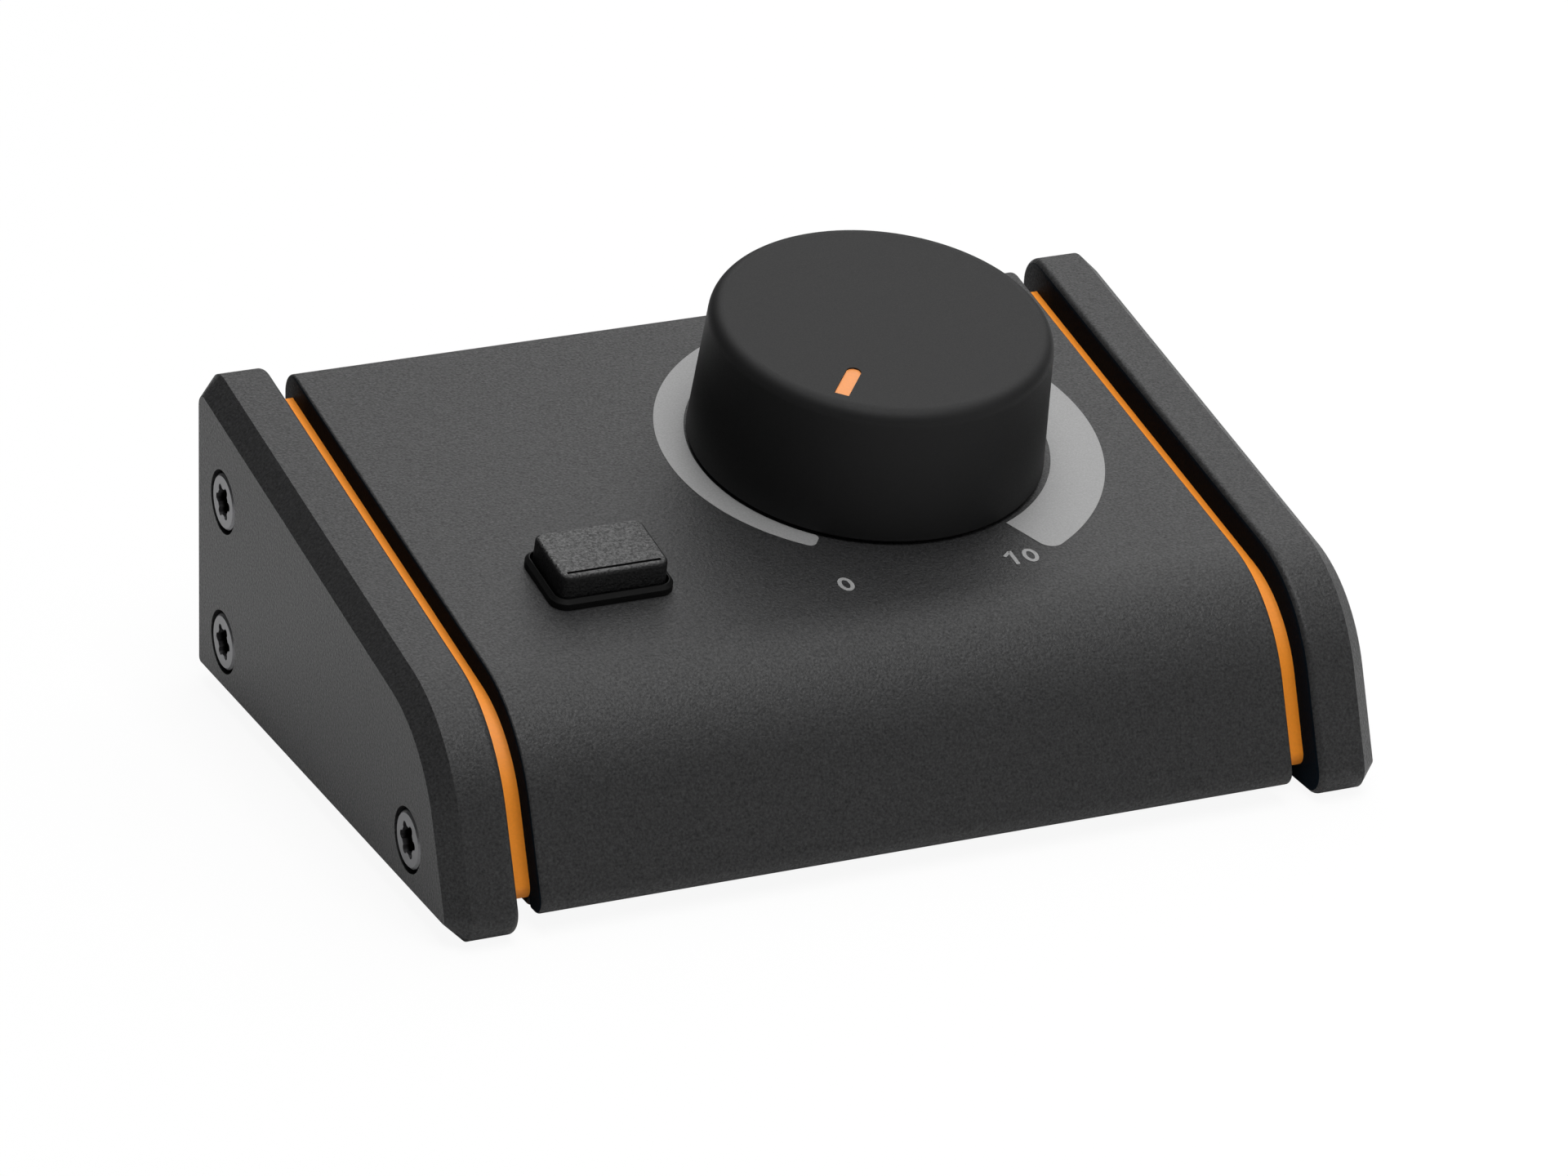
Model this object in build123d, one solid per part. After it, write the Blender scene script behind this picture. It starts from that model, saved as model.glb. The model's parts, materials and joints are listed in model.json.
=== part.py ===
from build123d import *
import os
from math import cos, radians, sin, sqrt, tan

# Desktop monitor controller: a passive box that sets the level of a pair of loudspeakers and sums them to mono.
# Millimetres, +Z up, the front faces -Y. The origin lies on the desk, under the middle of the whole envelope.
#
# A thick-walled aluminium shell, open below and at both ends, runs along X. It is held between two thick side
# cheeks, each with a thin accent plate behind it, by three recessed screws a side. A steel plate closes the
# underside. The potentiometer and the push switch hang under the sloping top, on a small board of their own.
# Four 6.3 mm sockets and one 3.5 mm socket stand on the main board and come out of the rear wall.

# ---------------------------------------------------------------- side outline, seen along X
overall_width = 120.0
depth = 85.0                 # cheek, rear face to the front tip at its underside
rear_height = 41.0           # cheek, underside to where the top plane meets the rear face
top_slope = 12.0             # degrees, falling towards the front
front_lean = 20.0            # degrees from upright, foot forward
nose_radius = 19.5           # cheek, between top and front
upper_corner_radius = 4.0    # cheek, top and rear
lower_corner_radius = 3.0    # cheek, both corners at its underside
least_corner_radius = 0.5    # outlines that lie further in keep at least this
desk_gap = 0.5               # cheek underside to the desk, held by the feet

cheek_thickness = 8.4
cheek_chamfer = 2.4
cheek_inner_round = 0.9
accent_thickness = 3.0
accent_reveal = 3.9          # accent plate edge inside the cheek outline, top, front and rear
accent_floor_reveal = 2.6    # the same at the underside
accent_corner_radius = 1.5   # accent plate, both corners at its underside
shell_reveal = 1.0           # shell surface inside the cheek outline, top and front
shell_rear_reveal = 1.5      # the same at the rear
shell_lift = 1.7             # shell underside above the cheek underside
shell_wall = 3.5
shell_edge_round = 0.4
root = 0.5                   # ledges, webs, ribs and spigots reach this far into what carries them
beyond = 1.0                 # cutting tools run this far past what they cut

# ---------------------------------------------------------------- cheek screws, M4 with a six-lobe recess
cheek_thread_d = 4.0
cheek_head_d = 7.0
cheek_head_height = 4.0
cheek_screw_length = 14.0    # under the head
head_chamfer_share = 0.04    # of the head's diameter
counterbore_d = 8.0
counterbore_depth = 4.0
clearance_d = 4.4
tapped_gap = 0.05            # radial, thread crest to tapped wall
lobe_circle_r = 1.7
lobe_r = 0.55
recess_depth = 2.2
screw_rear_inset = 10.6      # rear screws, from the cheek's rear face
screw_front_inset = 15.0     # front screw, from the cheek's front tip
screw_low = 8.2              # low screws, above the cheek's underside
screw_high = 26.6            # high rear screw, above the cheek's underside
boss_r = 4.5
boss_spare = 0.5             # boss beyond the screw's end

# ---------------------------------------------------------------- base plate, its screws and the feet
base_thickness = 1.5
base_gap = 0.2
ledge_width = 7.0
ledge_height = 2.0           # the main board rests on the rear ledge
base_thread_d = 3.0
base_head_d = 5.6
base_head_height = 1.2
base_screw_spare = 0.1       # screw ends this far below the ledge's top
base_screw_inset = 18.6      # from the shell's ends
base_recess_af = 2.0
base_recess_depth = 0.8
foot_r = 5.0
foot_chamfer = 0.5
foot_side_inset = 10.6       # from the shell's ends
foot_rear_inset = 18.5       # rear feet, from the cheek's rear face
foot_front_inset = 18.5      # front feet, from the cheek's front tip

# ---------------------------------------------------------------- potentiometer, two gangs, 6 mm flatted shaft
pot_size = 14.0
pot_depth = 8.0
pot_corner = 2.5
pot_lid_thickness = 0.8
pot_washer_r = 6.0
pot_washer_thickness = 0.6
pot_nut_af = 10.0
pot_nut_thickness = 2.0
bushing_d = 7.0
bushing_hole_gap = 0.1
bushing_spare = 1.6          # thread beyond the nut
thread_chamfer = 0.4
shaft_d = 6.0
shaft_gap = 0.05             # running fit, radial
shaft_chamfer = 0.5
shaft_end_gap = 0.3          # shaft's end to the top of the knob's sleeve
flat_depth = 1.5
flat_stop = 0.2              # lower end of the shaft's flat, above the sleeve's lower end
rotor_r = 5.0
rotor_thickness = 2.2
rotor_floor = 0.4            # below the shaft's end
rotor_gap = 0.3
rotor_drop = 4.4             # pot's mounting face to the rotor's top
terminal_width = 0.9
terminal_thickness = 0.5
terminal_pitch = 3.8
terminal_reach = 2.6         # first row, out of the pot's side
terminal_row_step = 2.4      # second row, further out
terminal_rise = 1.5          # first row, above the control board
terminal_rise_step = 3.0     # second row, further up
terminal_tail = 1.4          # below the control board

# ---------------------------------------------------------------- knob, on the axis across the top panel
knob_right_inset = 34.8      # axis, from the shell's right end
knob_rear_inset = 34.2       # axis at the panel, from the cheek's rear face
knob_base_r = 21.8
knob_top_r = 20.8
knob_gap = 0.6               # panel to the knob's rim
knob_height = 17.3
knob_wall = 2.4
knob_edge_round = 1.8
hub_r = 6.5
hub_clearance = 0.6          # end of the pot's bushing to the hub
knob_rib_count = 6
knob_rib_thickness = 1.4
knob_rib_drop = 6.0          # ribs stop this far above the knob's rim
insert_r = 4.6
insert_length = 9.0
pointer_length = 6.2
pointer_width = 1.8
pointer_depth = 1.2
pointer_recess = 0.2
pointer_edge_inset = 5.8     # pointer's centre, from the knob's top edge
pointer_angle = -130.0       # degrees, in the panel, from +X: the low end of the turn

# ---------------------------------------------------------------- push button and its switch
button_left_inset = 19.75    # centre, from the shell's left end
button_front_inset = 23.75   # centre, from the line where top and front planes meet
cap_length = 13.7
cap_width = 9.4
cap_corner = 1.2
cap_height = 4.1             # above the panel, released
cap_depth = 1.4              # below the panel's surface, released
cap_draft = 0.1              # growth per side, top to bottom
cap_wall = 1.2
cap_edge_round = 0.5
cap_groove_width = 0.4
cap_groove_depth = 0.3
cap_groove_inset = 0.9       # groove's centre from the front edge of the cap
cap_groove_margin = 0.9
cap_stem = 5.4
button_travel = 2.5
bezel_gap = 0.3              # cap to bezel, each side
bezel_wall = 0.4
bezel_flange = 0.15          # flange beyond the collar, each side
bezel_height = 1.3
bezel_slope = 0.45
bezel_snap = 0.6             # collar below the panel's underside
panel_hole_gap = 0.1
switch_size = 8.5
switch_height = 5.5
switch_floor = 0.5
switch_lid_thickness = 0.4
switch_lid_lift = 1.5        # frame's lower edge above the control board
plunger_size = 3.2
plunger_gap = 0.3
plunger_stop = 0.3           # plunger to the switch's floor, pressed
plunger_seat = 3.2           # plunger inside the cap's stem

# ---------------------------------------------------------------- boards
board_thickness = 1.6
board_corner = 1.0
moulded_corner = 0.5
pin_hole_r = 0.75

control_button_margin = 12.7 # control board, beyond the button's centre
control_right = 9.0          # its right and rear edges, from the knob's axis
control_rear = -5.0
control_front_inset = 12.4   # from the line where top and front planes meet
control_pot_gap = 1.3
pillar_r = 2.5
pillar_inset = 3.5           # from the control board's edges
pillar_spigot_r = 1.5
pillar_spigot_length = 2.0
board_thread_d = 2.5
board_head_d = 4.4
board_head_height = 1.7
board_screw_length = 5.0

main_board_side_gap = 0.3    # to the cheek screws' bosses
main_board_front_gap = 6.1   # to the front ledge
main_board_rear_gap = 0.5
spacer_r = 3.0
main_screw_side_inset = 6.0      # from the main board's edges
main_screw_front_inset = 5.0
main_screw_jack_gap = 9.0        # rear screws, in front of the sockets
main_thread_d = 3.0
main_head_d = 5.5
main_head_height = 1.8
main_screw_length = 3.4

# ---------------------------------------------------------------- rear sockets
jack_width = 15.0
jack_height = 13.5
jack_length = 25.5
jack_bore_r = 3.25
jack_bore_depth = 31.0
jack_guide_length = 13.0     # full wall behind the mouth's chamfer
jack_chamber_r = 3.6         # behind the guide, where the springs bear on the plug
jack_thread_d = 9.4
jack_hole_gap = 0.15
jack_mouth_chamfer = 0.8
jack_nut_af = 12.7
jack_nut_thickness = 2.4
jack_washer_r = 6.6
jack_washer_thickness = 0.8
jack_thread_spare = 0.8
nut_face_share = 0.92        # turned face of a nut, as a share of its width across flats
nut_turn_angle = 30.0
contact_depths = ((-1, 15.5), (1, 21.0), (-1, 27.0))   # side of the plug, depth behind the mouth
contact_width = 2.4
contact_thickness = 0.3
contact_slot = 3.0
contact_room = 1.2           # slot beyond the spring, sideways and upwards
contact_offset = 5.4
contact_touch_gap = 0.1
contact_bow = 2.6
contact_lift = 0.2           # spring's foot above the main board
contact_pin_width = 1.0
contact_tail = 1.3           # below the main board
mini_width = 9.0
mini_height = 7.0
mini_length = 12.0
mini_bore_r = 1.8
mini_bore_depth = 15.0
mini_thread_d = 5.6
mini_thread_spare = 0.6
mini_nut_r = 4.0
mini_nut_thickness = 1.6
mini_slot_width = 1.0
mini_slot_depth = 0.5
mini_hole_gap = 0.1

# ---------------------------------------------------------------- parts on the boards
resistor_count = 4
resistor_pitch = 4.0
resistor_screw_gap = 13.0    # middle of the row, inside the main board's right screws
resistor_front_inset = 12.0  # from the main board's front edge
resistor_r = 1.25
resistor_length = 6.3
resistor_lead_r = 0.3
resistor_span = 10.0
resistor_lift = 0.2          # body above the main board
link_left = 25.8             # left of the knob's axis
link_front_inset = 4.0       # lower socket, from the main board's front edge
link_width = 12.0
link_thickness = 0.3
link_rear_v = -14.5          # upper socket, from the knob's axis
link_pull_share = 1.7        # pull of each end of the bend, as a share of the room over the lower socket
socket_length = 14.0
socket_width = 4.0
socket_height = 3.0

# ---------------------------------------------------------------- derived places
slope_angle = radians(top_slope)
lean_angle = radians(front_lean)
slope_rate = tan(slope_angle)
lean_rate = tan(lean_angle)

jack_mouth = jack_washer_thickness + jack_nut_thickness + jack_thread_spare
mini_mouth = mini_nut_thickness + mini_thread_spare
tip_loss = lower_corner_radius / tan((radians(90) - lean_angle) / 2) - lower_corner_radius
rear_reach = jack_mouth - shell_rear_reveal
cheek_rear = (depth - tip_loss - rear_reach) / 2
cheek_tip = cheek_rear - depth

cheek_floor = desk_gap
shell_floor = cheek_floor + shell_lift
base_top = shell_floor + base_thickness
body_half = overall_width / 2 - cheek_thickness - accent_thickness
accent_face = body_half + accent_thickness
cheek_face = accent_face + cheek_thickness
rear_face = cheek_rear - shell_rear_reveal
rear_inner = rear_face - shell_wall
cavity_inset = shell_reveal + shell_wall
screw_reach = cheek_screw_length - (cheek_thickness - counterbore_depth) - accent_thickness
boss_length = screw_reach + boss_spare
boss_face = body_half - boss_length
cheek_screw_spots = (
    (cheek_rear - screw_rear_inset, cheek_floor + screw_low),
    (cheek_rear - screw_rear_inset, cheek_floor + screw_high),
    (cheek_tip + screw_front_inset, cheek_floor + screw_low),
)
foot_x = body_half - foot_side_inset
base_screw_x = body_half - base_screw_inset
foot_rows = (cheek_tip + foot_front_inset, cheek_rear - foot_rear_inset)
foot_spots = [(x, y) for x in (-foot_x, foot_x) for y in foot_rows]

# along the knob's axis, from the panel's surface
pot_face = -shell_wall
pot_front = pot_face - pot_lid_thickness
control_top = pot_face - pot_depth               # the board lies level with the back of the pot
control_under = control_top - board_thickness
bushing_height = pot_washer_thickness + pot_nut_thickness + bushing_spare
insert_low = bushing_height + hub_clearance
insert_high = insert_low + insert_length
shaft_top = insert_high - shaft_end_gap
flat_length = shaft_top - insert_low - flat_stop
rotor_high = pot_face - rotor_drop
rotor_low = rotor_high - rotor_thickness
knob_top = knob_gap + knob_height
switch_top = control_top + switch_height

board_floor = base_top + ledge_height
board_top = board_floor + board_thickness
board_rear = rear_inner - main_board_rear_gap
main_board_half = boss_face - main_board_side_gap
jack_front = rear_inner - jack_length
jack_z = board_top + jack_height / 2
mini_z = board_top + mini_height / 2
jack_gap = (boss_face - mini_width / 2 - 2 * jack_width) / 3   # equal gaps from the small socket to the boss
jack_inner_x = mini_width / 2 + jack_gap + jack_width / 2
jack_outer_x = jack_inner_x + jack_width + jack_gap
jack_spots = (-jack_outer_x, -jack_inner_x, jack_inner_x, jack_outer_x)
main_screw_x = main_board_half - main_screw_side_inset


def top_at(y, inset):
    """Height of the top plane at a depth y, for an outline that lies inset inside the cheek's."""
    return cheek_floor + rear_height - (cheek_rear - y) * slope_rate - inset / cos(slope_angle)


def front_at(z, inset):
    """Depth of the front face at a height z, for an outline that lies inset inside the cheek's."""
    return cheek_tip + (z - cheek_floor) * lean_rate + inset / cos(lean_angle)


def meeting_depth(inset):
    """Depth of the line where the top and front planes of such an outline meet."""
    return (front_at(0, inset) + lean_rate * top_at(0, inset)) / (1 - lean_rate * slope_rate)


knob_x = body_half - knob_right_inset
knob_y = cheek_rear - knob_rear_inset
link_x = knob_x - link_left
panel = Plane(
    origin=(knob_x, knob_y, top_at(knob_y, shell_reveal)),
    x_dir=(1, 0, 0),
    z_dir=(0, -sin(slope_angle), cos(slope_angle)),
)
nose_y = meeting_depth(shell_reveal)
nose_v = (nose_y - knob_y) / cos(slope_angle)    # where top and front planes meet, in the panel's frame
button_u = button_left_inset - body_half - knob_x
button_v = nose_v + button_front_inset
control_left = button_u - control_button_margin
control_front = nose_v + control_front_inset
pillar_spots = (
    (control_left + pillar_inset, control_rear - pillar_inset),
    (control_left + pillar_inset, control_front + pillar_inset),
    (control_right - pillar_inset, control_front + pillar_inset),
)

ledge_front = front_at(base_top, cavity_inset - root)
ledge_edge = ledge_front + ledge_width
board_front = ledge_edge + main_board_front_gap
main_board_length = board_rear - board_front
main_screw_rows = (board_front + main_screw_front_inset, jack_front - main_screw_jack_gap)
main_spots = [(x, y) for x in (-main_screw_x, main_screw_x) for y in main_screw_rows]
link_front_y = board_front + link_front_inset


def rear_socket(x, z):
    """Plane on the rear face, its normal pointing the way a plug is pulled out."""
    return Plane(origin=(x, rear_face, z), x_dir=(-1, 0, 0), z_dir=(0, 1, 0))


def save(name, *solids):
    shape = solids[0] if len(solids) == 1 else Compound(children=list(solids))
    shape.label = name
    export_step(shape, f"parts/{name}.step")


# ---------------------------------------------------------------- shared forms
def rounded_corner(face, spot, radius):
    corner = face.vertices().sort_by_distance(Vector(*spot, 0))[0]
    return fillet(corner, radius)


def side_outline(inset, floor, lower_round, rear_inset=None):
    """The side outline in (y, z), lying inset inside the cheek's, cut off level at the floor."""
    rear_inset = inset if rear_inset is None else rear_inset
    depth_of_nose = meeting_depth(inset)
    nose = (depth_of_nose, top_at(depth_of_nose, inset))
    rear = cheek_rear - rear_inset
    upper_rear = (rear, top_at(rear, inset))
    lower_rear = (rear, floor)
    tip = (front_at(floor, inset), floor)
    face = Polygon(lower_rear, upper_rear, nose, tip, align=None)
    face = rounded_corner(face, nose, nose_radius - inset)
    face = rounded_corner(face, upper_rear, max(upper_corner_radius - inset, least_corner_radius))
    if lower_round > 0:
        face = rounded_corner(face, lower_rear, lower_round)
        face = rounded_corner(face, tip, lower_round)
    return face


def across(sketch, x, thickness):
    """Extrudes a (y, z) sketch along +X, starting at x."""
    return extrude(Plane.YZ.offset(x) * sketch, amount=thickness)


def disc(r, low, high):
    """A round bar on the local Z axis."""
    return Pos(0, 0, low) * Cylinder(r, high - low, align=(Align.CENTER, Align.CENTER, Align.MIN))


def block(length, width, low, high, corner=0.0):
    """An upright block about the local Z axis, its four upright edges rounded."""
    outline = RectangleRounded(length, width, corner) if corner > 0 else Rectangle(length, width)
    return Pos(0, 0, low) * extrude(outline, amount=high - low)


def top_rim(shape):
    """The highest round edge of a shape, along the local Z axis."""
    return shape.edges().filter_by(GeomType.CIRCLE).sort_by(Axis.Z)[-1]


def hexagon(across_flats, low, high):
    return Pos(0, 0, low) * extrude(RegularPolygon(across_flats / sqrt(3), 6), amount=high - low)


def hex_nut(across_flats, thickness, hole_d):
    """A nut standing on the local XY plane, its corners turned down on the outer face."""
    corner_r = across_flats / sqrt(3)
    face_r = nut_face_share * across_flats / 2
    shoulder = thickness - (corner_r - face_r) * tan(radians(nut_turn_angle))
    turned = Polygon((0, 0), (corner_r, 0), (corner_r, shoulder), (face_r, thickness), (0, thickness),
                     align=None)
    nut = hexagon(across_flats, 0, thickness) & revolve(Plane.XZ * turned, axis=Axis.Z)
    return nut - disc(hole_d / 2, -beyond, thickness + beyond)


def cap_screw(thread_d, length, head_d, head_height):
    """A cheese-head screw, the underside of its head on the local XY plane and its shank below."""
    head = disc(head_d / 2, 0, head_height)
    head = chamfer(top_rim(head), head_d * head_chamfer_share)
    return head + disc(thread_d / 2, -length, 0)


def six_lobe(depth_of_cut, face_z):
    star = Circle(lobe_circle_r) + PolarLocations(lobe_circle_r, 6) * Circle(lobe_r)
    return Pos(0, 0, face_z - depth_of_cut) * extrude(star, amount=depth_of_cut + beyond)


# ---------------------------------------------------------------- housing
def make_shell():
    outline = side_outline(shell_reveal, shell_floor, lower_corner_radius - shell_reveal, shell_rear_reveal)
    cavity = side_outline(cavity_inset, shell_floor - beyond, 0, shell_rear_reveal + shell_wall)
    outside = across(outline, -body_half, 2 * body_half)
    inside = across(cavity, -body_half - beyond, 2 * (body_half + beyond))
    shell = fillet(outside.faces().filter_by(Axis.X).edges(), shell_edge_round) - inside
    shell += make_ledges()
    shell += make_bosses()
    for spot in cheek_screw_spots:
        tapped = Pos(*spot) * Circle(cheek_thread_d / 2 + tapped_gap)
        shell -= across(tapped, -body_half - beyond, 2 * (body_half + beyond))
    shell -= base_screw_holes(base_thread_d / 2 + tapped_gap, board_floor + beyond)
    through = -shell_wall - beyond
    shell -= panel * disc(bushing_d / 2 + bushing_hole_gap, through, beyond)
    shell -= panel * Pos(button_u, button_v) * panel_cutout(through)
    spigot_hole = disc(pillar_spigot_r + tapped_gap, through, pillar_spigot_length - shell_wall)
    for spot in pillar_spots:
        shell -= panel * Pos(*spot) * spigot_hole
    for x in jack_spots:
        shell -= rear_socket(x, jack_z) * disc(jack_thread_d / 2 + jack_hole_gap, through, beyond)
    shell -= rear_socket(0, mini_z) * disc(mini_thread_d / 2 + mini_hole_gap, through, beyond)
    return shell


def panel_cutout(low):
    length, width = collar_size()
    return block(length + 2 * panel_hole_gap, width + 2 * panel_hole_gap, low, beyond, collar_corner())


def make_ledges():
    """Two rails along the open underside that carry the base plate."""
    rails = Box(2 * body_half, ledge_width, ledge_height, align=(Align.CENTER, Align.MAX, Align.MIN))
    rear = Pos(0, rear_inner + root, base_top) * rails
    upper = front_at(board_floor, cavity_inset - root)
    rail = Polygon((ledge_front, base_top), (ledge_edge, base_top), (ledge_edge, board_floor), (upper, board_floor),
                   align=None)
    return rear + across(rail, -body_half, 2 * body_half)


def make_bosses():
    """Tapped bosses at both ends of the shell, each tied to the nearest wall by a web."""
    bosses = Part()
    for y, z in cheek_screw_spots:
        wall = rear_inner + root if y > 0 else front_at(z, cavity_inset - root)
        web = Pos((y + wall) / 2, z) * Rectangle(abs(wall - y), 2 * boss_r)
        outline = Pos(y, z) * Circle(boss_r) + web
        for start in (-body_half, boss_face):
            bosses += across(outline, start, boss_length)
    # the webs stay inside the walls
    return bosses & across(side_outline(shell_rear_reveal + root, base_top, 0), -body_half, 2 * body_half)


def base_screw_spots():
    rear = rear_inner - ledge_width / 2
    front = front_at(base_top, cavity_inset) + ledge_width / 2
    return [(x, y) for x in (-base_screw_x, base_screw_x) for y in (front, rear)]


def base_screw_holes(r, top):
    holes = Part()
    for x, y in base_screw_spots():
        holes += Pos(x, y) * disc(r, shell_floor - beyond, top)
    return holes


def countersink(gap):
    return Cone(base_head_d / 2 + gap, base_thread_d / 2 + gap, base_head_height,
                align=(Align.CENTER, Align.CENTER, Align.MIN))


def make_base_plate():
    front = front_at(base_top, cavity_inset) + base_gap
    rear = rear_inner - base_gap
    length = 2 * (body_half - base_gap)
    plate = Pos(0, (front + rear) / 2) * block(length, rear - front, shell_floor, base_top, board_corner)
    plate -= base_screw_holes(base_thread_d / 2 + base_gap, base_top + beyond)
    for x, y in base_screw_spots():
        plate -= Pos(x, y, shell_floor) * countersink(base_gap)
    return plate


def make_base_screws():
    length = base_thickness + ledge_height - base_screw_spare
    screw = countersink(0) + disc(base_thread_d / 2, 0, length)
    screw -= hexagon(base_recess_af, -beyond, base_recess_depth)
    return [Pos(x, y, shell_floor) * screw for x, y in base_screw_spots()]


def make_feet():
    foot = disc(foot_r, 0, shell_floor)
    foot = chamfer(foot.edges().filter_by(GeomType.CIRCLE).sort_by(Axis.Z)[0], foot_chamfer)
    return [Pos(*spot) * foot for spot in foot_spots]


def make_cheek():
    """The right cheek: a thick plate with a wide chamfer round its outer face."""
    straight = cheek_thickness - cheek_chamfer
    outline = side_outline(0, cheek_floor, lower_corner_radius)
    plate = across(outline, accent_face, straight)
    inner = plate.faces().sort_by(Axis.X)[0]
    plate = fillet(inner.edges(), cheek_inner_round)
    inset = side_outline(cheek_chamfer, cheek_floor + cheek_chamfer, lower_corner_radius - cheek_chamfer)
    plate += loft([Plane.YZ.offset(accent_face + straight) * outline, Plane.YZ.offset(cheek_face) * inset],
                  ruled=True)
    for spot in cheek_screw_spots:
        seat = Plane.YZ.offset(cheek_face) * Pos(*spot)
        plate -= extrude(seat * Circle(counterbore_d / 2), amount=-counterbore_depth)
        plate -= extrude(seat * Circle(clearance_d / 2), amount=-cheek_thickness)
    return plate


def make_accent_plate():
    """The right accent plate, its edge sunk behind the cheek's and the shell's."""
    outline = side_outline(accent_reveal, cheek_floor + accent_floor_reveal, accent_corner_radius)
    plate = across(outline, body_half, accent_thickness)
    for spot in cheek_screw_spots:
        plate -= across(Pos(*spot) * Circle(clearance_d / 2), body_half - beyond, accent_thickness + 2 * beyond)
    return plate


def make_cheek_screws():
    screw = cap_screw(cheek_thread_d, cheek_screw_length, cheek_head_d, cheek_head_height)
    screw -= six_lobe(recess_depth, cheek_head_height)
    seat = Plane.YZ.offset(cheek_face - counterbore_depth)
    return [seat * Pos(*spot) * screw for spot in cheek_screw_spots]


def opposite(shape):
    return mirror(shape, about=Plane.YZ)


# ---------------------------------------------------------------- potentiometer and knob, in the panel's frame
def make_pot_housing():
    housing = block(pot_size, pot_size, control_top, pot_front, pot_corner)
    housing -= disc(rotor_r + rotor_gap, rotor_low - rotor_gap, rotor_high + rotor_gap)
    housing -= disc(shaft_d / 2 + shaft_gap, rotor_high, 0)
    return housing


def make_pot_bushing():
    """The metal front plate of the pot and its threaded bushing, in one piece."""
    plate = block(pot_size, pot_size, pot_front, pot_face, pot_corner)
    tube = disc(bushing_d / 2, pot_front, bushing_height)
    tube = chamfer(top_rim(tube), thread_chamfer)
    return plate + tube - disc(shaft_d / 2 + shaft_gap, pot_front - beyond, bushing_height + beyond)


def shaft_flat():
    """What the flat takes off the shaft, and what the sleeve keeps in its place."""
    away = Box(shaft_d, shaft_d, flat_length, align=(Align.MIN, Align.CENTER, Align.MAX))
    return Pos(shaft_d / 2 - flat_depth, 0, shaft_top) * away


def make_pot_shaft():
    shaft = disc(shaft_d / 2, rotor_low + rotor_floor, shaft_top)
    return chamfer(top_rim(shaft), shaft_chamfer) - shaft_flat()


def make_pot_rotor():
    seat = disc(shaft_d / 2, rotor_low + rotor_floor, rotor_high + beyond)
    return disc(rotor_r, rotor_low, rotor_high) - seat


def make_pot_terminals():
    """Two rows of three bent tags, from the pot's front side down through the control board."""
    tags = []
    tail = control_under - terminal_tail
    side = -pot_size / 2
    for row in (0, 1):
        outer = side - terminal_reach - row * terminal_row_step
        inner = outer + terminal_thickness
        rise = control_top + terminal_rise + row * terminal_rise_step
        under = rise - terminal_thickness
        bend = Polygon((side, rise), (outer, rise), (outer, tail), (inner, tail), (inner, under), (side, under),
                       align=None)
        for step in (-1, 0, 1):
            start = step * terminal_pitch - terminal_width / 2
            tags.append(extrude(Plane.YZ.offset(start) * bend, amount=terminal_width))
    return tags


def terminal_spots():
    first = -pot_size / 2 - terminal_reach + terminal_thickness / 2
    return [(step * terminal_pitch, first - row * terminal_row_step) for row in (0, 1) for step in (-1, 0, 1)]


def make_pot_washer():
    hole = disc(bushing_d / 2 + bushing_hole_gap, -beyond, pot_washer_thickness + beyond)
    return disc(pot_washer_r, 0, pot_washer_thickness) - hole


def make_pot_nut():
    return Pos(0, 0, pot_washer_thickness) * hex_nut(pot_nut_af, pot_nut_thickness, bushing_d + 2 * tapped_gap)


def make_knob_shell():
    """A slightly tapered cup with a hub and radial ribs inside, turned about the local Z axis."""
    taper = (knob_base_r - knob_top_r) / knob_height
    roof = knob_height - knob_wall
    outline = Polygon((0, 0), (knob_base_r, 0), (knob_top_r, knob_height), (0, knob_height), align=None)
    outline = rounded_corner(outline, (knob_top_r, knob_height), knob_edge_round)
    mouth_r = knob_base_r - knob_wall + taper * beyond
    roof_r = knob_top_r - knob_wall + taper * knob_wall
    hollow = Polygon((0, -beyond), (mouth_r, -beyond), (roof_r, roof), (0, roof), align=None)
    body = revolve(Plane.XZ * outline, axis=Axis.Z)
    cup = body - revolve(Plane.XZ * hollow, axis=Axis.Z)
    spokes = Part()
    for turn in range(knob_rib_count // 2):
        spoke = block(2 * knob_top_r - knob_wall, knob_rib_thickness, knob_rib_drop, roof + root)
        spokes += Rot(0, 0, turn * 360 / knob_rib_count) * spoke
    cup += spokes & body
    hub_low = insert_low - knob_gap
    cup += disc(hub_r, hub_low, roof + root)
    cup -= disc(insert_r, hub_low - beyond, hub_low + insert_length)
    cup -= pointer_slot(knob_height - pointer_depth, knob_height + beyond)
    return Pos(0, 0, knob_gap) * cup


def pointer_slot(low, high):
    """A bar pointing out from the knob's centre, round at its inner end and square at its outer one."""
    straight = pointer_length - pointer_width / 2
    outline = Pos(pointer_length / 2, 0) * Rectangle(straight, pointer_width, align=(Align.MAX, Align.CENTER))
    outline += Pos(pointer_length / 2 - straight, 0) * Circle(pointer_width / 2)
    bar = Pos(0, 0, low) * extrude(outline, amount=high - low)
    return Rot(0, 0, pointer_angle) * Pos(knob_top_r - pointer_edge_inset, 0) * bar


def make_knob_pointer():
    return pointer_slot(knob_top - pointer_depth, knob_top - pointer_recess)


def make_knob_insert():
    """The brass sleeve that grips the flatted shaft."""
    sleeve = disc(insert_r, insert_low, insert_high)
    return sleeve - (disc(shaft_d / 2, insert_low - beyond, shaft_top) - shaft_flat())


# ---------------------------------------------------------------- push button, at its centre in the panel's frame
def collar_size():
    grow = 2 * (cap_draft + bezel_gap + bezel_wall)
    return cap_length + grow, cap_width + grow


def collar_corner():
    return cap_corner + bezel_gap + bezel_wall


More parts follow.
